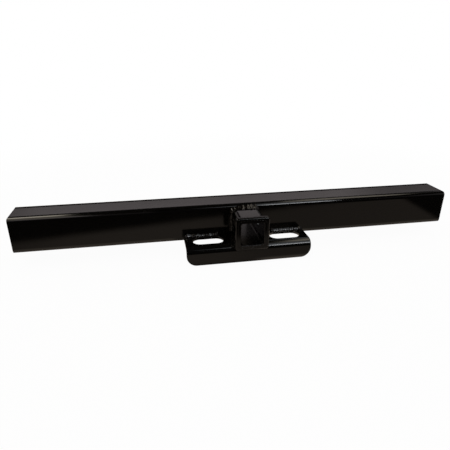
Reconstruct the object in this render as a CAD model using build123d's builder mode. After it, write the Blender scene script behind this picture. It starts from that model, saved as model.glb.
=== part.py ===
from build123d import *
import os

# Trailer hitch receiver: a square crossbar with a receiver tube welded through its middle,
# a reinforcing collar round the mouth and one bent plate with two slots for the safety chains.
# X runs along the crossbar, the mouth opens toward -Y and Z is up.
# The origin is the centre of the hitch pin hole, on the receiver tube's axis.
# All sizes are in millimetres.

# Crossbar, a length of square tube
crossbar_length = 1016.0
crossbar_size = 80.0
crossbar_wall = 5.0
crossbar_corner = 8.0

# Receiver tube, which takes a two inch square shank
receiver_size = 63.5
receiver_wall = 6.1
receiver_corner = 11.0
receiver_reach = 76.0
receiver_tail = 12.0
passage_clearance = 0.4

# Hole for the hitch pin, measured back from the mouth
pin_diameter = 15.9
pin_clearance = 0.5
pin_setback = 57.0

# Collar round the mouth
collar_wall = 5.8
collar_depth = 10.5
collar_corner = 6.0
collar_clearance = 0.2
collar_edge_radius = 4.5
collar_rear_chamfer = 1.0

# Chain plate under the receiver tube, bent down in front into a lip
plate_width = 284.0
plate_thickness = 6.0
plate_bend_radius = 10.0
plate_corner_radius = 23.0
lip_height = 42.0
lip_setback = 16.0

# Slots for the safety chain hooks
slot_length = 70.0
slot_width = 35.0
slot_centre_x = 89.25
slot_behind_mouth = 54.6

# Weld beads: leg is along the tube or plate, rise is up the face across it, root is how far
# the bead follows a rounded face back, crown is how far its ridge stands out
ring_leg = 7.0
ring_rise = 6.5
ring_root = 3.4
collar_leg = 4.5
collar_rise = 2.6
plate_leg = 3.0
plate_rise = 6.5
seam_leg = 4.0
seam_rise = 9.0
seam_root = 6.5
under_leg = 3.0
under_rise_least = 2.0
under_toe_height = 0.25
under_toe_setback = 2.5
lip_bead_leg = 3.0
lip_bead_rise = 3.0
lip_bead_root = 5.0
bead_crown = 0.8
bead_overlap = 1.0
bead_end_margin = 2.5

# Broken edges
tube_end_chamfer = 0.6
mouth_chamfer = 1.0
plate_chamfer = 0.8

# Derived places
mouth_y = -pin_setback
bar_front_y = mouth_y + receiver_reach
bar_rear_y = bar_front_y + crossbar_size
bar_middle_y = (bar_front_y + bar_rear_y) / 2
receiver_rear_y = bar_rear_y + receiver_tail
receiver_length = receiver_rear_y - mouth_y
receiver_half = receiver_size / 2
receiver_flat = receiver_half - receiver_corner
collar_size = receiver_size + 2 * (collar_clearance + collar_wall)
collar_rear_y = mouth_y + collar_depth
plate_top_z = -receiver_half
plate_bottom_z = plate_top_z - plate_thickness
lip_front_y = mouth_y + lip_setback
lip_bottom_z = plate_top_z - lip_height
bend_start_y = lip_front_y + plate_thickness + plate_bend_radius
slot_y = mouth_y + slot_behind_mouth

# The weld under the plate ends on the crossbar's rounded corner, just above the crossbar's underside
under_rise = max(under_rise_least, plate_bottom_z + crossbar_size / 2 - under_toe_height)
under_root = crossbar_corner - under_toe_setback

os.makedirs("parts", exist_ok=True)

# Crossbar, square tube with a passage for the receiver through its front and rear walls
with BuildPart() as crossbar:
    with BuildSketch(Plane.YZ.offset(-crossbar_length / 2)):
        with Locations((bar_middle_y, 0)):
            RectangleRounded(crossbar_size, crossbar_size, crossbar_corner)
            bore = crossbar_size - 2 * crossbar_wall
            RectangleRounded(bore, bore, crossbar_corner - crossbar_wall, mode=Mode.SUBTRACT)
    extrude(amount=crossbar_length)
    end_faces = crossbar.faces().sort_by(Axis.X)
    chamfer(end_faces[0].edges() + end_faces[-1].edges(), tube_end_chamfer)
    with BuildSketch(Plane.XZ.offset(-bar_rear_y)):
        passage = receiver_size + 2 * passage_clearance
        RectangleRounded(passage, passage, receiver_corner + passage_clearance)
    extrude(amount=crossbar_size, mode=Mode.SUBTRACT)
crossbar.part.label = "crossbar"
export_step(crossbar.part, "parts/crossbar.step")

# Receiver tube, open at both ends, with the pin hole across both side walls
with BuildPart() as receiver_tube:
    with BuildSketch(Plane.XZ.offset(-receiver_rear_y)):
        RectangleRounded(receiver_size, receiver_size, receiver_corner)
        bore = receiver_size - 2 * receiver_wall
        RectangleRounded(bore, bore, receiver_corner - receiver_wall, mode=Mode.SUBTRACT)
    extrude(amount=receiver_length)
    mouth_face = receiver_tube.faces().sort_by(Axis.Y)[0]
    chamfer(mouth_face.inner_wires()[0].edges(), mouth_chamfer)
    rear_face = receiver_tube.faces().sort_by(Axis.Y)[-1]
    chamfer(rear_face.edges(), tube_end_chamfer)
    with BuildSketch(Plane.YZ.offset(-receiver_half)):
        Circle((pin_diameter + pin_clearance) / 2)
    extrude(amount=receiver_size, mode=Mode.SUBTRACT)
receiver_tube.part.label = "receiver_tube"
export_step(receiver_tube.part, "parts/receiver_tube.step")

# Collar, a rounded ring that stiffens the mouth and ends flush with it
with BuildPart() as mouth_collar:
    with BuildSketch(Plane.XZ.offset(-collar_rear_y)):
        RectangleRounded(collar_size, collar_size, collar_corner)
        bore = receiver_size + 2 * collar_clearance
        RectangleRounded(bore, bore, receiver_corner + collar_clearance, mode=Mode.SUBTRACT)
    extrude(amount=collar_depth)
    ends = mouth_collar.faces().sort_by(Axis.Y)
    chamfer(ends[-1].outer_wire().edges(), collar_rear_chamfer)
    fillet(ends[0].outer_wire().edges(), collar_edge_radius)
mouth_collar.part.label = "mouth_collar"
export_step(mouth_collar.part, "parts/mouth_collar.step")

# Chain plate, bent down at the front, with a slot on either side of the receiver
with BuildPart() as chain_plate:
    with BuildSketch(Plane.YZ.offset(-plate_width / 2)):
        with BuildLine():
            outer = FilletPolyline(
                (bar_front_y, plate_top_z),
                (lip_front_y, plate_top_z),
                (lip_front_y, lip_bottom_z),
                radius=plate_bend_radius + plate_thickness,
            )
            inner = FilletPolyline(
                (bar_front_y, plate_bottom_z),
                (lip_front_y + plate_thickness, plate_bottom_z),
                (lip_front_y + plate_thickness, lip_bottom_z),
                radius=plate_bend_radius,
            )
            Line(outer @ 0, inner @ 0)
            Line(outer @ 1, inner @ 1)
        make_face()
    extrude(amount=plate_width)
    lip_corners = chain_plate.edges().filter_by(Axis.Y).group_by(Axis.Z)[0]
    fillet(lip_corners, plate_corner_radius)
    cut_faces = chain_plate.faces().filter_by(Axis.X) + chain_plate.faces().sort_by(Axis.Z)[:1]
    corner_arcs = chain_plate.edges().filter_by(lambda edge: edge.geom_type == GeomType.CIRCLE)
    corner_arcs = corner_arcs.filter_by(lambda edge: edge.radius > plate_bend_radius + plate_thickness)
    rim = (cut_faces.edges() + corner_arcs).filter_by_position(Axis.Y, lip_front_y, bar_front_y, (True, False))
    seams = rim.filter_by(Axis.Y).group_by(SortBy.LENGTH)[0]
    chamfer(rim - seams, plate_chamfer)
    with BuildSketch(Plane.XY.offset(plate_top_z)):
        with Locations((-slot_centre_x, slot_y), (slot_centre_x, slot_y)):
            SlotOverall(slot_length, slot_width)
    extrude(amount=-plate_thickness, mode=Mode.SUBTRACT)
    flats = chain_plate.faces().filter_by(Axis.Z).group_by(Axis.Z)
    slot_rims = [face.inner_wires().edges() for face in flats[-1] + flats[-2]]
    chamfer(slot_rims[0] + slot_rims[1], plate_chamfer)
chain_plate.part.label = "chain_plate"
export_step(chain_plate.part, "parts/chain_plate.step")


def bead_section(plane, leg, rise, root):
    """Cross-section of a bead: the plane's X runs away from the face and its Y up the face."""
    toe = Vector(leg, 0)
    face_toe = Vector(-root, rise)
    outward = Vector(rise, leg + root).normalized()
    crown = (toe + face_toe) / 2 + outward * bead_crown
    with BuildSketch(plane) as section:
        with BuildLine():
            Polyline(toe, crown, face_toe, (-root, -bead_overlap), (leg, -bead_overlap), close=True)
        make_face()
    return section.sketch


def ring_bead(face_y, way, leg, rise, root):
    """Bead all round the receiver tube, on a face at face_y, running out along Y toward way."""
    with BuildPart() as ring:
        with BuildLine(Plane.XZ.offset(-face_y)) as loop:
            Line((0, receiver_half), (receiver_flat, receiver_half))
            for side in (2 * receiver_flat, 2 * receiver_flat, 2 * receiver_flat, receiver_flat):
                JernArc(loop.line @ 1, loop.line % 1, receiver_corner, -90)
                PolarLine(loop.line @ 1, side, direction=loop.line % 1)
        top = Plane(origin=(0, face_y, receiver_half), x_dir=(0, way, 0), z_dir=(way, 0, 0))
        add(bead_section(top, leg, rise, root))
        sweep(path=loop.wire())
    return ring.part


def ring_pass(ring, low, high, side, joined):
    """One pass of a ring between two heights, on one side or both, without what it is laid against."""
    with BuildPart() as bead:
        add(ring)
        split(bisect_by=Plane.XY.offset(low), keep=Keep.TOP)
        split(bisect_by=Plane.XY.offset(high), keep=Keep.BOTTOM)
        if side:
            split(bisect_by=Plane.YZ, keep=Keep.TOP if side > 0 else Keep.BOTTOM)
        for neighbour in joined:
            add(neighbour, mode=Mode.SUBTRACT)
    return bead.part


def straight_bead(plane, leg, rise, root, length, joined):
    """A straight pass along the plane's normal, without what it is laid against."""
    with BuildPart() as bead:
        add(bead_section(plane, leg, rise, root))
        extrude(amount=length, dir=plane.z_dir)
        for neighbour in joined:
            add(neighbour, mode=Mode.SUBTRACT)
    return bead.part.solids().sort_by(SortBy.VOLUME)[-1]


def save_bead(bead, name):
    """Labels a bead and writes it under its own name."""
    bead.label = name
    export_step(bead, f"parts/{name}.step")


# Welds round the receiver tube on both faces of the crossbar, in passes; in front the side passes
# end on the chain plate, whose own weld to the crossbar takes the place of the bottom pass
ring_reach = receiver_half + ring_rise + bead_crown
front_ring = ring_bead(bar_front_y, -1, ring_leg, ring_rise, ring_root)
rear_ring = ring_bead(bar_rear_y, 1, ring_leg, ring_rise, ring_root)
bar_and_tube = (crossbar.part, receiver_tube.part)
front_top = ring_pass(front_ring, receiver_flat, ring_reach, 0, bar_and_tube)
front_left = ring_pass(front_ring, plate_top_z, receiver_flat, -1, bar_and_tube)
front_right = ring_pass(front_ring, plate_top_z, receiver_flat, 1, bar_and_tube)
rear_top = ring_pass(rear_ring, receiver_flat, ring_reach, 0, bar_and_tube)
rear_left = ring_pass(rear_ring, -receiver_flat, receiver_flat, -1, bar_and_tube)
rear_right = ring_pass(rear_ring, -receiver_flat, receiver_flat, 1, bar_and_tube)
rear_bottom = ring_pass(rear_ring, -ring_reach, -receiver_flat, 0, bar_and_tube)
save_bead(front_top, "front_top_weld")
save_bead(front_left, "front_left_weld")
save_bead(front_right, "front_right_weld")
save_bead(rear_top, "rear_top_weld")
save_bead(rear_left, "rear_left_weld")
save_bead(rear_right, "rear_right_weld")
save_bead(rear_bottom, "rear_bottom_weld")

# Welds behind the collar, all round the receiver tube
collar_ring = ring_bead(collar_rear_y, 1, collar_leg, collar_rise, bead_overlap)
collar_and_tube = (mouth_collar.part, receiver_tube.part)
collar_top = ring_pass(collar_ring, receiver_flat, ring_reach, 0, collar_and_tube)
collar_left = ring_pass(collar_ring, -receiver_flat, receiver_flat, -1, collar_and_tube)
collar_right = ring_pass(collar_ring, -receiver_flat, receiver_flat, 1, collar_and_tube)
collar_bottom = ring_pass(collar_ring, -ring_reach, -receiver_flat, 0, collar_and_tube)
save_bead(collar_top, "collar_top_weld")
save_bead(collar_left, "collar_left_weld")
save_bead(collar_right, "collar_right_weld")
save_bead(collar_bottom, "collar_bottom_weld")

# Straight welds of the chain plate: to the crossbar above and below, where the middle one lies under
# the receiver tube, and to the tube's sides
steel = (crossbar.part, receiver_tube.part, chain_plate.part)
bead_end_x = plate_width / 2 - bead_end_margin
bar_pass = bead_end_x - receiver_half
tube_pass = bar_front_y - bend_start_y
above = Plane(origin=(bead_end_x, bar_front_y, plate_top_z), x_dir=(0, -1, 0), z_dir=(-1, 0, 0))
middle = Plane(origin=(-receiver_half, bar_front_y, plate_bottom_z), x_dir=(0, -1, 0), z_dir=(1, 0, 0))
below = Plane(origin=(receiver_half, bar_front_y, plate_bottom_z), x_dir=(0, -1, 0), z_dir=(1, 0, 0))
along = Plane(origin=(receiver_half, bar_front_y, plate_top_z), x_dir=(1, 0, 0), z_dir=(0, -1, 0))
over_plate = straight_bead(above, plate_leg, plate_rise, bead_overlap, bar_pass, steel + (front_right,))
against_tube = steel + (front_right, over_plate)
under_tube = straight_bead(middle, under_leg, under_rise, under_root, receiver_size, steel)
under_plate = straight_bead(below, under_leg, under_rise, under_root, bar_pass, steel)
beside_tube = straight_bead(along, seam_leg, seam_rise, seam_root, tube_pass, against_tube)
save_bead(under_tube, "front_bottom_weld")
save_bead(over_plate, "plate_top_weld_right")
save_bead(mirror(over_plate, about=Plane.YZ), "plate_top_weld_left")
save_bead(under_plate, "plate_bottom_weld_right")
save_bead(mirror(under_plate, about=Plane.YZ), "plate_bottom_weld_left")
save_bead(beside_tube, "plate_side_weld_right")
save_bead(mirror(beside_tube, about=Plane.YZ), "plate_side_weld_left")

# Weld in the groove between the receiver tube's underside and the plate's bend, in front
groove_y = bend_start_y - (lip_bead_leg + lip_bead_root)
groove = Plane(origin=(-receiver_flat, groove_y, plate_top_z), x_dir=(0, -1, 0), z_dir=(1, 0, 0))
lip_bead = straight_bead(groove, lip_bead_leg, lip_bead_rise, lip_bead_root, 2 * receiver_flat, steel)
save_bead(lip_bead, "lip_weld")
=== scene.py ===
import bpy
import math
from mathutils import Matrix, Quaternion, Vector, noise


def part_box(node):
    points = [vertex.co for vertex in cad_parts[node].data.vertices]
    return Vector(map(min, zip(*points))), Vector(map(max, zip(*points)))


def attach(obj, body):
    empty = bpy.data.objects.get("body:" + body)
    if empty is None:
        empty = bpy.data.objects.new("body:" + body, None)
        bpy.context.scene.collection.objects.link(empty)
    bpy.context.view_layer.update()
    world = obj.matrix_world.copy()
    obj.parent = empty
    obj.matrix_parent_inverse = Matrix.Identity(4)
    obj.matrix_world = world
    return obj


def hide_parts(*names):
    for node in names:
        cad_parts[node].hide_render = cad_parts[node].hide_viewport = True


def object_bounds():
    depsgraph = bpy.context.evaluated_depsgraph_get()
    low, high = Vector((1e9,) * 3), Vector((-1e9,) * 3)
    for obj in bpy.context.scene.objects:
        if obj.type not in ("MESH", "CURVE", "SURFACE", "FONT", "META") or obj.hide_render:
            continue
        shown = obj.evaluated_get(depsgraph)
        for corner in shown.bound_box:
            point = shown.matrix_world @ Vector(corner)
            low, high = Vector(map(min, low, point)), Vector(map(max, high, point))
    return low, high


# Trailer hitch receiver in glossy black powder coat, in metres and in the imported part's frame:
# X runs along the crossbar, the mouth opens toward -Y and Z is up. The origin is the centre of
# the hitch pin hole.
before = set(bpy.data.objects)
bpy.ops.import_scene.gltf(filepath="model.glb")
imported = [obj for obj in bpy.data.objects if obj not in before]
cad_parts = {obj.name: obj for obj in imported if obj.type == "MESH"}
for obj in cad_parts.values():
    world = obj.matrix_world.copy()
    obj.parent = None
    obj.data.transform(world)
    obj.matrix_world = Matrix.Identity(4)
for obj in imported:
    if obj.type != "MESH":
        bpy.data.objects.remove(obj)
cad_low, cad_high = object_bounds()
MM = 0.001

# Camera, fitted to the crossbar's outline, the mouth, the slots and the plate's outline in the
# photograph
CAMERA_PLACE = Vector((-0.20728, -0.84092, 0.37357))
CAMERA_LOOK = Vector((0.16826, 0.90155, -0.39862))
CAMERA_ROLL = math.radians(0.234)
CAMERA_LENS = 33.221
SENSOR_WIDTH = 36.0

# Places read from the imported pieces
bar_low, bar_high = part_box("crossbar")
plate_low, plate_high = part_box("chain_plate")
tube_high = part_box("receiver_tube")[1]
collar_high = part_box("mouth_collar")[1]
TUBE_HALF = tube_high[0]
BAR_HALF = bar_high[2]
BAR_FRONT = bar_low[1]
BAR_REAR = bar_high[1]
BAR_MIDDLE = (BAR_FRONT + BAR_REAR) / 2
COLLAR_REAR = collar_high[1]
PLATE_TOP = plate_high[2]
LIP_FRONT = plate_low[1]

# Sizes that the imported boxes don't give
TUBE_CORNER = 11 * MM
PLATE_THICKNESS = 6 * MM
PLATE_BEND = 10 * MM
PLATE_BOTTOM = PLATE_TOP - PLATE_THICKNESS
BEND_START = LIP_FRONT + PLATE_THICKNESS + PLATE_BEND


# Shader maths

class Value:
    """An output socket of a node. Arithmetic on one that carries a number adds Math nodes."""

    def __init__(self, nodes, socket):
        self.nodes = nodes
        self.socket = socket

    def maths(self, operation, first, second=0.0):
        return self.nodes.node("ShaderNodeMath", {"operation": operation}, {0: first, 1: second})

    def __add__(self, other):
        return self.maths("ADD", self, other)

    def __sub__(self, other):
        return self.maths("SUBTRACT", self, other)

    def __rsub__(self, other):
        return self.maths("SUBTRACT", other, self)

    def __mul__(self, other):
        return self.maths("MULTIPLY", self, other)

    __radd__ = __add__
    __rmul__ = __mul__

    def __abs__(self):
        return self.maths("ABSOLUTE", self)

    def sign(self):
        return self.maths("SIGN", self)

    def at_least(self, other):
        """The larger of this and another value."""
        return self.maths("MAXIMUM", self, other)

    def along(self, axis):
        """A vector's share along X, Y or Z."""
        return self.nodes.node("ShaderNodeSeparateXYZ", None, {0: self}, output=axis)

    def rise(self, low, high):
        """0 below low, 1 above high, and smooth between them."""
        return self.nodes.node(
            "ShaderNodeMapRange",
            {"interpolation_type": "SMOOTHSTEP"},
            {"Value": self, "From Min": low, "From Max": high},
        )

    def fall(self, low, high):
        """1 below low, 0 above high, and smooth between them."""
        return 1 - self.rise(low, high)

    def within(self, start, full, fading, gone):
        """1 between full and fading, 0 before start and after gone, and smooth between them."""
        return self.rise(start, full) * self.fall(fading, gone)

    def steps(self, level, *changes):
        """A level with smooth steps, each given as where it starts, where it ends and its height."""
        for low, high, change in changes:
            level = level + self.rise(low, high) * change
        return level


class Nodes:
    """A node tree, and the one method that adds nodes to it."""

    def __init__(self, tree):
        self.tree = tree

    def node(self, kind, settings=None, inputs=None, output=0):
        """Adds a node of any kind: its settings first, then the values or links of its sockets."""
        made = self.tree.nodes.new(kind)
        for key, setting in (settings or {}).items():
            setattr(made, key, setting)
        for key, given in (inputs or {}).items():
            if isinstance(given, Value):
                self.tree.links.new(given.socket, made.inputs[key])
            else:
                made.inputs[key].default_value = given
        return Value(self, made.outputs[output])

    def seen(self):
        """1 where the camera, gloss or glass looks, and 0 where only light is passed on."""
        rays = ("Is Camera Ray", "Is Glossy Ray", "Is Transmission Ray")
        camera, gloss, glass = (self.node("ShaderNodeLightPath", output=ray) for ray in rays)
        return camera.at_least(gloss).at_least(glass)


# Sockets of the Mix node, whose colours and vectors go by the same names
MIX_VECTORS = (4, 5)
MIXED_VECTOR = 1
MIX_COLOURS = (6, 7)
MIXED_COLOUR = 2


class Surface(Nodes):
    """A material with a Principled shader. Constants are set on the shader's own sockets."""

    def __init__(self, name, constants):
        self.material = bpy.data.materials.new(name)
        self.material.use_nodes = True
        super().__init__(self.material.node_tree)
        self.shader = self.tree.nodes["Principled BSDF"]
        for socket, constant in constants.items():
            self.shader.inputs[socket].default_value = constant

    def feed(self, socket, value):
        """Links what changes over the surface to the shader."""
        self.tree.links.new(value.socket, self.shader.inputs[socket])

    def place(self):
        """Where a point of the surface lies in the part's frame."""
        return self.node("ShaderNodeTexCoord", output="Object")

    def normal(self):
        return self.node("ShaderNodeNewGeometry", output="Normal")

    def speckle(self, wavelength, detail, roughness=0.5):
        """Noise between about 0 and 1 whose bumps are a wavelength apart, in metres."""
        inputs = {"Vector": self.place(), "Scale": 1 / wavelength}
        inputs |= {"Detail": detail, "Roughness": roughness}
        return self.node("ShaderNodeTexNoise", {"noise_dimensions": "3D"}, inputs)

    def mix(self, kind, share, sockets, pair, output):
        """Mixes a pair of colours or vectors; share 0 gives the first."""
        inputs = {"Factor": share} | dict(zip(sockets, pair))
        return self.node("ShaderNodeMix", {"data_type": kind}, inputs, output)

    def blend(self, share, first, second):
        """Mixes two colours; share 0 gives the first."""
        return self.mix("RGBA", share, MIX_COLOURS, (first, second), MIXED_COLOUR)

    def tinted(self, tint, strength):
        """A colour as strong as a value."""
        scaled = {"operation": "SCALE"}
        return self.node("ShaderNodeVectorMath", scaled, {0: tint, "Scale": strength})

    def bump(self, height, depth, normal):
        """A normal bent by a height between 0 and 1, as deep as stated."""
        inputs = {"Height": height, "Distance": depth, "Strength": 1.0, "Normal": normal}
        return self.node("ShaderNodeBump", None, inputs)


# Powder coat

# The bar's rolled corners: their radius, and where and how strongly the faces beside them lead in
ROLLED_CORNER = 10.5 * MM
LEAD_REACH = 17 * MM
LEAD_ACROSS = 0.13
# What lies deeper than this under the outer faces of the bar or the tube counts as its bore
BAR_SKIN = 3.0 * MM
TUBE_SKIN = 4 * MM

COAT_BLACK = (0.0011, 0.0009, 0.0007, 1)
COAT_THIN = (0.0042, 0.0036, 0.0030, 1)
COAT_DUST = (0.030, 0.026, 0.022, 1)
COAT_OVER_WELD = (0.0030, 0.0023, 0.0018, 1)
CLOUD_WAVE = 60 * MM
GRAIN_WAVE = 5 * MM
# How much of the thin coat shows on edges and in clouds, and how much dust at most
EDGE_THIN = 0.6
CLOUD_THIN = 0.12
DUST_SHARE = 0.10
# Roughness that clouds, dust, edges and the tube's inside add
CLOUD_DULL = 0.06
DUST_DULL = 0.10
EDGE_DULL = 0.06
INSIDE_DULL = 0.12

# Orange peel with lumps over it, and the slow waves of rolled steel
PEEL_WAVE = 1.7 * MM
PEEL_DEPTH = 0.010 * MM
LUMP_WAVE = 6 * PEEL_WAVE
ROLL_WAVE = 38 * MM
ROLL_DEPTH = 0.05 * MM


def rolled_corners(coat, rounded):
    """Normals of the bar's rolled corners, whose bend starts gently on the faces beside the arc."""
    place = coat.place()
    bends, sizes = [], []
    for offset, lead in ((place.along("Y") - BAR_MIDDLE, LEAD_ACROSS), (place.along("Z"), 0.0)):
        size = abs(offset)
        arc_part = (size - (BAR_HALF - ROLLED_CORNER)).at_least(0.0)
        lead_part = (size - (BAR_HALF - LEAD_REACH)).at_least(0.0) * lead
        bends.append((arc_part + lead_part) * offset.sign())
        sizes.append(size)
    bent = coat.node("ShaderNodeCombineXYZ", None, {"Y": bends[0], "Z": bends[1]})
    bent = coat.node("ShaderNodeVectorMath", {"operation": "NORMALIZE"}, {0: bent})
    skin = BAR_HALF - BAR_SKIN
    outside = sizes[0].at_least(sizes[1]).rise(skin - 0.4 * MM, skin)
    not_an_end = abs(coat.normal().along("X")).fall(0.3, 0.5)
    return coat.mix("VECTOR", outside * not_an_end, MIX_VECTORS, (rounded, bent), MIXED_VECTOR)


def inside_tube(coat):
    """1 on the receiver tube's inner faces, where the coat lies thin and dull, and 0 outside."""
    place = coat.place()
    reach = abs(place.along("X")).at_least(abs(place.along("Z")))
    skin = TUBE_HALF - TUBE_SKIN
    return reach.fall(skin - 1 * MM, skin)


def powder_coat(name, edge_radius, smoothest, lumps, deep=COAT_BLACK, corners=None, inside=None):
    """Glossy coat over gently waved steel, thinner and paler on edges, with orange peel and dust.
    Smoothest is its least roughness. Corners gives the normals of rolled corners, and inside says
    where the coat is dull.
    """
    coat = Surface(name, {"IOR": 1.5, "Metallic": 0.0})
    rounded = coat.node("ShaderNodeBevel", {"samples": 6}, {"Radius": edge_radius})
    compare = {"operation": "DOT_PRODUCT"}
    facing = coat.node("ShaderNodeVectorMath", compare, {0: rounded, 1: coat.normal()}, "Value")
    edge = (1 - facing).rise(0.004, 0.08)
    clouds = coat.speckle(CLOUD_WAVE, detail=3.0)
    grain = coat.speckle(GRAIN_WAVE, detail=4.0, roughness=0.65)
    dust = (grain * clouds).rise(0.32, 0.55)
    black = coat.blend(edge * EDGE_THIN + clouds * CLOUD_THIN, deep, COAT_THIN)
    coat.feed("Base Color", coat.blend(dust * DUST_SHARE, black, COAT_DUST))
    roughness = smoothest + clouds * CLOUD_DULL + dust * DUST_DULL + edge * EDGE_DULL
    if inside:
        roughness = roughness + inside(coat) * INSIDE_DULL
    coat.feed("Roughness", roughness)
    if corners:
        rounded = corners(coat, rounded)
    waves = coat.bump(coat.speckle(ROLL_WAVE, detail=1.0), ROLL_DEPTH, rounded)
    peel = coat.speckle(PEEL_WAVE, detail=1.0) + coat.speckle(LUMP_WAVE, detail=1.0) * lumps
    coat.feed("Normal", coat.bump(peel, PEEL_DEPTH, waves))
    return coat.material


bar_finish = powder_coat("powder_coat_bar", 1.0 * MM, 0.06, 0.6, corners=rolled_corners)
tube_finish = powder_coat("powder_coat_tube", 0.8 * MM, 0.08, 0.9, inside=inside_tube)
collar_finish = powder_coat("powder_coat_collar", 0.8 * MM, 0.12, 1.2)
plate_finish = powder_coat("powder_coat_plate", 0.9 * MM, 0.08, 0.5)
weld_finish = powder_coat("coated_weld", 0.4 * MM, 0.05, 0.4, deep=COAT_OVER_WELD)


def finish_node(node, material):
    """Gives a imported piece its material."""
    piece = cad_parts[node]
    piece.data.materials.clear()
    piece.data.materials.append(material)


finish_node("crossbar", bar_finish)
finish_node("receiver_tube", tube_finish)
finish_node("mouth_collar", collar_finish)
finish_node("chain_plate", plate_finish)


# Weld beads

RIPPLE_PITCH = 3.4 * MM
RIPPLE_HEIGHT = 0.17 * MM
RIPPLE_BOW = 2.4 * MM
RIPPLE_DRIFT = 0.8 * MM
DRIFT_WAVE = 9 * MM
# Above 0, a ripple's two sides differ in steepness
RIPPLE_LEAN = 0.7
# Share by which a bead swells and shrinks, and by which its toes wander
SWELL = 0.20
SWELL_WAVE = 8 * MM
TOE_DRIFT = 0.07
TOE_WAVE = 5 * MM

BEAD_STEP = 0.45 * MM
BEAD_CROWN = 0.6 * MM
BEAD_POINTS = 14
RING_POINTS = BEAD_POINTS + 3
# Over this length a bead grows from this share of its size to the full size
BEAD_END = 3.0 * MM
END_SIZE = 0.25
# Depth of the hidden edges under a bead, the outer of which lies this share of the leg out
BEAD_BURIED = 1.0 * MM
BURIED_LEG = 0.6
# How far apart two neighbouring seeds lie in the noise
SEED_Y = 7.31
SEED_Z = 1.7


def wander(distance, seed, wavelength):
    """A slow drift between about -1 and 1 along a bead."""
    return noise.noise(Vector((distance / wavelength, seed * SEED_Y, seed * SEED_Z)))


def bead_ring(station, size, seed, lumps):
    """Points across a bead at one station, from the toe on the tube or plate to the toe on the
    face, and two buried ones. A lump has a place along the bead, a reach and a share of the size.
    """
    point, away, up, distance, end = station
    leg, rise, root = size
    swell = 1 + SWELL * wander(distance, seed, SWELL_WAVE)
    for place, reach, height in lumps:
        swell += height * math.exp(-(((distance - place) / reach) ** 2))
    toe = away * leg * (swell + TOE_DRIFT * wander(distance, seed + 3, TOE_WAVE))
    face_swell = swell + TOE_DRIFT * wander(distance, seed + 5, TOE_WAVE)
    face_toe = up * rise * face_swell - away * root
    outward = (away * rise + up * (leg + root)).normalized()
    taper = math.sqrt(max(0.0, 1 - (1 - min(1.0, end / BEAD_END)) ** 2))
    scale = END_SIZE + (1 - END_SIZE) * taper
    drift = RIPPLE_DRIFT * wander(distance, seed + 9, DRIFT_WAVE)
    ring = []
    for index in range(BEAD_POINTS + 1):
        across = index / BEAD_POINTS
        arch = 4 * across * (1 - across)
        turn = 2 * math.pi * (distance + RIPPLE_BOW * arch + drift) / RIPPLE_PITCH
        ripple = 0.5 + 0.5 * math.cos(turn + RIPPLE_LEAN * math.sin(turn))
        height = BEAD_CROWN * swell * arch + RIPPLE_HEIGHT * ripple * arch ** 0.5
        ring.append(point + (toe.lerp(face_toe, across) + outward * height) * scale)
    ring.append(point - away * root - up * BEAD_BURIED)
    ring.append(point + away * leg * BURIED_LEG - up * BEAD_BURIED)
    return ring


def weld_bead(node, spine, size, seed, lumps=()):
    """A rippled bead along a spine of stations, in place of the plain one."""
    verts = []
    for station in spine:
        verts += bead_ring(station, size, seed, lumps)
    faces = []
    for row in range(len(spine) - 1):
        for index in range(RING_POINTS):
            a = row * RING_POINTS + index
            b = row * RING_POINTS + (index + 1) % RING_POINTS
            faces.append((a, b, b + RING_POINTS, a + RING_POINTS))
    faces.append(tuple(reversed(range(RING_POINTS))))
    faces.append(tuple(range(len(verts) - RING_POINTS, len(verts))))
    mesh = bpy.data.meshes.new(node)
    mesh.from_pydata([tuple(v) for v in verts], [], faces)
    mesh.validate()
    mesh.update()
    mesh.materials.append(weld_finish)
    for face in mesh.polygons:
        face.use_smooth = len(face.vertices) == 4
    bead = bpy.data.objects.new(node + "_bead", mesh)
    bpy.context.scene.collection.objects.link(bead)
    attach(bead, "root")
    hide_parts(node)


# Distances along the tube's outline, clockwise from the top's middle
FLAT_HALF = TUBE_HALF - TUBE_CORNER
ARC = TUBE_CORNER * math.pi / 2
QUARTER = 2 * FLAT_HALF + ARC
ROUND = 4 * QUARTER
TOP_END = FLAT_HALF + ARC
SIDE_END = TOP_END + 2 * FLAT_HALF
# The front's side passes go on round the lower corner until they meet the plate
PLATE_PASS = SIDE_END + TUBE_CORNER * math.radians(38)


def outline(distance):
    """Point and outward normal on the tube's outline, at such a distance."""
    quarters, along = divmod(distance + FLAT_HALF, QUARTER)
    if along <= 2 * FLAT_HALF:
        point = Vector((along - FLAT_HALF, 0, TUBE_HALF))
        normal = Vector((0, 0, 1))
    else:
        angle = (along - 2 * FLAT_HALF) / TUBE_CORNER
        normal = Vector((math.sin(angle), 0, math.cos(angle)))
        point = Vector((FLAT_HALF, 0, FLAT_HALF)) + normal * TUBE_CORNER
    for turn in range(int(quarters) % 4):
        point = Vector((point.z, 0, -point.x))
        normal = Vector((normal.z, 0, -normal.x))
    return point, normal


def ring_spine(face_y, way, start, stop):
    """Stations of a pass round the tube on the face at face_y, from start to stop clockwise."""
    steps = round((stop - start) / BEAD_STEP)
    spine = []
    for index in range(steps + 1):
        distance = (stop - start) * index / steps
        point, normal = outline(start + distance)
        point.y = face_y
        end = min(distance, stop - start - distance)
        spine.append((point, Vector((0, way, 0)), normal, distance, end))
    return spine


def straight_spine(start, stop, away, up):
    """Stations of a straight pass between two corner points."""
    length = (stop - start).length
    steps = round(length / BEAD_STEP)
    spine = []
    for index in range(steps + 1):
        distance = length * index / steps
        point = start.lerp(stop, index / steps)
        spine.append((point, away, up, distance, min(distance, length - distance)))
    return spine


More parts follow.
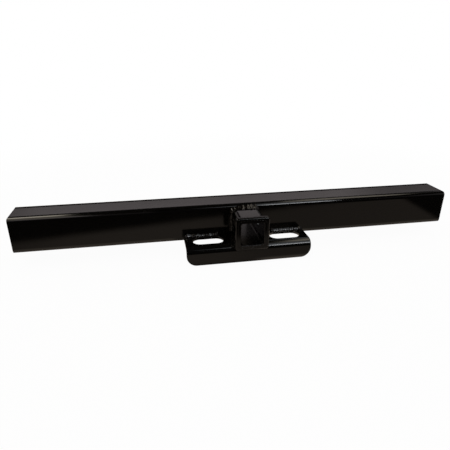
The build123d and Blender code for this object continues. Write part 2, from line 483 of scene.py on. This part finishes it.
# Sizes of the passes: the leg along the tube or plate, the rise along the other face, and how far
# behind that face its toe lies, on the face's rounded corner
RING = (7.0 * MM, 6.2 * MM, 3.4 * MM)
COLLAR = (4.5 * MM, 2.6 * MM, 1.0 * MM)
OVER_PLATE = (4.5 * MM, 8.0 * MM, 1.0 * MM)
BESIDE_TUBE = (4.0 * MM, 9.0 * MM, 6.5 * MM)
UNDER_PLATE = (3.0 * MM, 2.0 * MM, 5.5 * MM)
BEFORE_BEND = (3.0 * MM, 3.0 * MM, 5.0 * MM)

# The short passes over the plate start here, and those over and under it end just inside its edge
STITCH_START = 62 * MM
PASS_END = plate_high[0] - 1.0 * MM

# Lumps where a pass was started or stopped
TOP_LUMPS = (
    (8 * MM, 3 * MM, 0.25),
    (30 * MM, 5 * MM, 0.15),
    (53 * MM, 2 * MM, 0.3),
    (61 * MM, 2 * MM, 0.25),
)
STITCH_LUMPS = (
    (2 * MM, 3 * MM, 0.35),
    (72 * MM, 3 * MM, 0.3),
)
FORWARD, UP, DOWN = Vector((0, -1, 0)), Vector((0, 0, 1)), Vector((0, 0, -1))


def ring_passes(face, face_y, way, size, seed):
    """The passes round the tube on one face. The front's lowest is straight and made on its own."""
    in_front = face == "front"
    side_stop = PLATE_PASS if in_front else SIDE_END
    top = ring_spine(face_y, way, -TOP_END, TOP_END)
    right = ring_spine(face_y, way, TOP_END, side_stop)
    left = ring_spine(face_y, way, ROUND - side_stop, ROUND - TOP_END)
    weld_bead(f"{face}_top_weld", top, size, seed + 1, TOP_LUMPS if in_front else ())
    weld_bead(f"{face}_right_weld", right, size, seed + 2)
    weld_bead(f"{face}_left_weld", left, size, seed + 4)
    if not in_front:
        bottom = ring_spine(face_y, way, SIDE_END, ROUND - SIDE_END)
        weld_bead(f"{face}_bottom_weld", bottom, size, seed + 3)


def across_front(start, stop, y, z, up):
    """Stations of a pass that runs along X."""
    return straight_spine(Vector((start, y, z)), Vector((stop, y, z)), FORWARD, up)


def plate_passes(side, name, seed):
    """The passes on one side of the tube: over the plate, under it, and beside the tube."""
    tube_side, pass_end = side * TUBE_HALF, side * PASS_END
    over = across_front(side * STITCH_START, pass_end, BAR_FRONT, PLATE_TOP, UP)
    under = across_front(tube_side, pass_end, BAR_FRONT, PLATE_BOTTOM, DOWN)
    beside_start, beside_stop = (Vector((tube_side, y, PLATE_TOP)) for y in (BAR_FRONT, BEND_START))
    beside = straight_spine(beside_start, beside_stop, Vector((side, 0, 0)), UP)
    weld_bead(f"plate_top_weld_{name}", over, OVER_PLATE, seed + 40, STITCH_LUMPS)
    weld_bead(f"plate_bottom_weld_{name}", under, UNDER_PLATE, seed + 50)
    weld_bead(f"plate_side_weld_{name}", beside, BESIDE_TUBE, seed + 60)


ring_passes("front", BAR_FRONT, -1, RING, 0)
ring_passes("rear", BAR_REAR, 1, RING, 10)
ring_passes("collar", COLLAR_REAR, 1, COLLAR, 20)

below_tube = across_front(-TUBE_HALF, TUBE_HALF, BAR_FRONT, PLATE_BOTTOM, DOWN)
weld_bead("front_bottom_weld", below_tube, UNDER_PLATE, 3)
leg, _, root = BEFORE_BEND
before_bend = across_front(-FLAT_HALF, FLAT_HALF, BEND_START - leg - root, PLATE_TOP, DOWN)
weld_bead("lip_weld", before_bend, BEFORE_BEND, 70)
plate_passes(-1, "left", 0)
plate_passes(1, "right", 1)


# Floor

WHITE = (1, 1, 1, 1)
BLACK = (0, 0, 0, 1)
MATT = {"Roughness": 1.0, "Specular IOR Level": 0.0}
FLOOR_COLOUR = (0.9, 0.9, 0.9, 1)
FLOOR_REACH = 12.0
FLOOR_HEIGHT = cad_low[2] - 0.3 * MM
# Near the part the floor is plain white by this share and lit for the rest, which shows a soft
# shadow. Between this distance from the part and twice as far, it turns all white.
FLOOR_WHITE = 0.96
SHADOW_REACH = 0.8


def stage_sheet(name, corners, faces, materials, camera_sees):
    """A floor or card that isn't part of the object. What the camera doesn't see is only mirrored."""
    mesh = bpy.data.meshes.new(name)
    mesh.from_pydata(corners, [], faces)
    for material in materials:
        mesh.materials.append(material)
    for index, face in enumerate(mesh.polygons):
        face.material_index = min(index, len(materials) - 1)
    sheet = bpy.data.objects.new(name, mesh)
    bpy.context.scene.collection.objects.link(sheet)
    if not camera_sees:
        sheet.visible_camera = False
        sheet.visible_diffuse = False
        sheet.visible_shadow = False
        sheet.visible_transmission = False


def rectangle(left, right, near, far, height):
    """Corners of a level rectangle, from the near left one round to the far left one."""
    return [(left, near, height), (right, near, height), (right, far, height), (left, far, height)]


def pale_floor():
    """White to the camera and in reflections, with the part's shadow left in it."""
    floor = Surface("pale_floor", MATT | {"Base Color": FLOOR_COLOUR})
    lit = Value(floor, floor.shader.outputs[0])
    white = floor.node("ShaderNodeEmission", None, {"Color": WHITE})
    measure = {"operation": "LENGTH"}
    distance = floor.node("ShaderNodeVectorMath", measure, {0: floor.place()}, "Value")
    share = distance.rise(SHADOW_REACH, 2 * SHADOW_REACH) * (1 - FLOOR_WHITE) + FLOOR_WHITE
    mixed = floor.node("ShaderNodeMixShader", None, {0: floor.seen() * share, 1: lit, 2: white})
    floor.tree.links.new(mixed.socket, floor.tree.nodes["Material Output"].inputs["Surface"])
    return floor.material


floor_corners = rectangle(-FLOOR_REACH, FLOOR_REACH, -FLOOR_REACH, FLOOR_REACH, FLOOR_HEIGHT)
stage_sheet("floor", floor_corners, [(0, 1, 2, 3)], [pale_floor()], True)


# Room that only the gloss mirrors: a turned grey sheet on a dark floor, dim walls with a lit band
# on the far one, lit boxes on the ceiling, and a softbox that hangs in front at the right

ROOM = 3.0
CARD_GAP = 0.2 * MM
# The hanging softbox's left, right, near and far edges, and its height
STRIP_EDGES = (-0.2, 1.8, -2.8, -0.4)
STRIP_HEIGHT = 1.44
NEUTRAL = (1.0, 0.90, 0.905)
SHEET_TINT = (1.0, 0.84, 0.70)
CEILING_TINT = (1.0, 0.91, 0.76)
COOL = (0.93, 0.96, 1.0)

# Brightness of the sheet and of the floor round it, and the way that the sheet's front edge faces
SHEET_GREY = 0.21
FLOOR_DARK = 0.012
SHEET_FRONT_X = -0.152
SHEET_FRONT_Y = -0.988
# How far the left and right sides of the hanging softbox slant, per metre toward the front
STRIP_LEFT_SLANT = 0.208
STRIP_RIGHT_SLANT = 0.333


def sheet_brightness(x, y, z):
    """Turned sheet: soft front edge, sharper right edge, painted light and shade near the part."""
    front = x * SHEET_FRONT_X + y * SHEET_FRONT_Y
    inside = front.fall(0.169, 0.221) * x.fall(0.565, 0.595)
    left_glow = x.within(-0.55, -0.4, -0.15, 0.1) * 0.07
    # Painted shadow under the plate's left half and a painted pool of light under its right half
    beside = x.steps(0.2, (-0.17, -0.15, -0.26), (0.0, 0.05, 0.65), (0.15, 0.18, -0.39))
    painted_light_and_shadow = (0 - y).fall(0.045, 0.060) * beside
    return inside * (SHEET_GREY - FLOOR_DARK + left_glow + painted_light_and_shadow) + FLOOR_DARK


def back_brightness(x, y, z):
    """A lit band over a dark skirt, lighter along its upper edge, taller behind the tube."""
    behind_tube = x.within(0.42, 0.46, 0.98, 1.04)
    top = 1 - z.rise(1.28, 1.32) * (1 - behind_tube) - z.rise(1.38, 1.42) * behind_tube
    ends = x.steps(0.75, (-1.5, -1.2, 0.25), (1.6, 2.4, -0.5))
    level = z.steps(0.42, (1.08, 1.13, -0.05), (1.15, 1.17, 0.08))
    upper_edge = z.rise(1.18, 1.22) * (1 - behind_tube) * 0.14
    return z.rise(1.02, 1.04) * top * ends * (level + upper_edge) + 0.02


def side_brightness(x, y, z):
    """Nearly dark at the floor, and dim higher up."""
    return z.steps(0.03, (0.2, 1.2, 0.2))


def front_brightness(x, y, z):
    """Nearly dark at the floor and dim higher up, with a lit panel high up at the left."""
    panel = x.within(-1.9, -1.7, -1.0, -0.8) * z.rise(2.2, 2.4) * 1.2
    return z.steps(0.004, (1.0, 1.6, 0.10)) + panel


def ceiling_brightness(x, y, z):
    """A large softbox at the left, dimmer at its near end, and at the right two that meet."""
    left_box = x.within(-1.9, -1.7, -1.1, -0.9) * y.fall(1.5, 1.7) * y.steps(1.2, (-0.6, -0.4, 3.6))
    far_box = x.rise(1.3, 1.5) * y.rise(0.9, 1.1) * 1.8
    near_box = x.rise(0.95, 1.2) * y.within(-0.9, -0.7, 0.7, 0.9) * 2.0
    return left_box + (far_box + near_box) * x.fall(2.2, 2.5) + 0.02


def strip_brightness(x, y, z):
    """The slanted softbox, brightest toward its near end, with a narrow wing at the left."""
    from_left = x + y * STRIP_LEFT_SLANT
    from_right = x + y * STRIP_RIGHT_SLANT
    box = from_left.rise(0.22, 0.34) * (0.7 + y.fall(-1.70, -1.55) * 10.5)
    wing = from_left.rise(-0.25, 0.12) * y.within(-1.30, -1.22, -1.02, -0.94) * 1.6
    return (box + wing) * from_right.fall(0.62, 0.72) * y.rise(-2.15, -2.0)


def card_surface(name, tint, brightness):
    """A black card that only shines, as brightly as a function of a point's place says."""
    card = Surface(name, MATT | {"Base Color": BLACK, "Emission Strength": 1.0})
    place = card.place()
    level = brightness(place.along("X"), place.along("Y"), place.along("Z"))
    cloud = card.speckle(0.5, detail=1.0) * 0.1 + 0.95
    card.feed("Emission Color", card.tinted(tint, level * cloud))
    return card.material


def mirrored_room():
    """Six cards round the part, in the order of the faces: below, front, right, back, left, above."""
    side_wall = card_surface("grey_side_wall", NEUTRAL, side_brightness)
    cards = [
        card_surface("grey_sheet", SHEET_TINT, sheet_brightness),
        card_surface("dark_front_wall", NEUTRAL, front_brightness),
        side_wall,
        card_surface("grey_back_wall", NEUTRAL, back_brightness),
        side_wall,
        card_surface("dim_ceiling", CEILING_TINT, ceiling_brightness),
    ]
    below = rectangle(-ROOM, ROOM, -ROOM, ROOM, FLOOR_HEIGHT + CARD_GAP)
    above = rectangle(-ROOM, ROOM, -ROOM, ROOM, ROOM)
    faces = [(0, 1, 2, 3), (0, 1, 5, 4), (1, 2, 6, 5), (2, 3, 7, 6), (3, 0, 4, 7), (4, 5, 6, 7)]
    stage_sheet("mirrored_room", below + above, faces, cards, False)


mirrored_room()
strip_corners = rectangle(*STRIP_EDGES, STRIP_HEIGHT)
strip_glow = card_surface("softbox_strip", COOL, strip_brightness)
stage_sheet("softbox_strip", strip_corners, [(0, 1, 2, 3)], [strip_glow], False)


# Lamps, world and camera

WARM = (1.0, 0.93, 0.82)
# The surrounding is white where it is seen, and this strong as light
SKY_LIGHT = 0.6


def softbox(name, place, aim, size, brightness, tint):
    """A rectangular lamp that points at aim, as bright as stated whatever its size."""
    light = bpy.data.lights.new(name, "AREA")
    light.shape = "RECTANGLE"
    light.size, light.size_y = size
    light.energy = brightness * math.pi * size[0] * size[1]
    light.color = tint
    lamp = bpy.data.objects.new(name, light)
    lamp.location = place
    lamp.rotation_euler = (Vector(aim) - Vector(place)).to_track_quat("-Z", "Y").to_euler()
    lamp.visible_glossy = False
    bpy.context.scene.collection.objects.link(lamp)


def studio_world():
    """A white surrounding that lights the part less than it shows."""
    world = bpy.data.worlds.new("studio")
    world.use_nodes = True
    sky = Nodes(world.node_tree)
    background = sky.tree.nodes["Background"]
    background.inputs["Color"].default_value = WHITE
    strength = sky.seen() * (1 - SKY_LIGHT) + SKY_LIGHT
    sky.tree.links.new(strength.socket, background.inputs["Strength"])
    bpy.context.scene.world = world


def photo_camera():
    """The camera at the photograph's place and angle."""
    camera_data = bpy.data.cameras.new("camera")
    camera_data.lens = CAMERA_LENS
    camera_data.sensor_width = SENSOR_WIDTH
    camera = bpy.data.objects.new("camera", camera_data)
    camera.location = CAMERA_PLACE
    level = CAMERA_LOOK.to_track_quat("-Z", "Y")
    camera.rotation_euler = (level @ Quaternion((0, 0, 1), CAMERA_ROLL)).to_euler()
    bpy.context.scene.collection.objects.link(camera)
    return camera


softbox("overhead_softbox", (0.0, 0.6, 4.2), (0, 0, 0), (3.4, 1.5), 1.6, WARM)
softbox("left_softbox", (-1.9, -1.6, 4.0), (-0.2, 0, 0), (1.7, 1.3), 1.6, WARM)
softbox("right_softbox", (1.2, -1.9, 2.2), (0.1, 0, 0), (0.6, 0.8), 3.0, COOL)
studio_world()
bpy.context.scene.camera = photo_camera()
bpy.context.scene.view_settings.view_transform = "Standard"
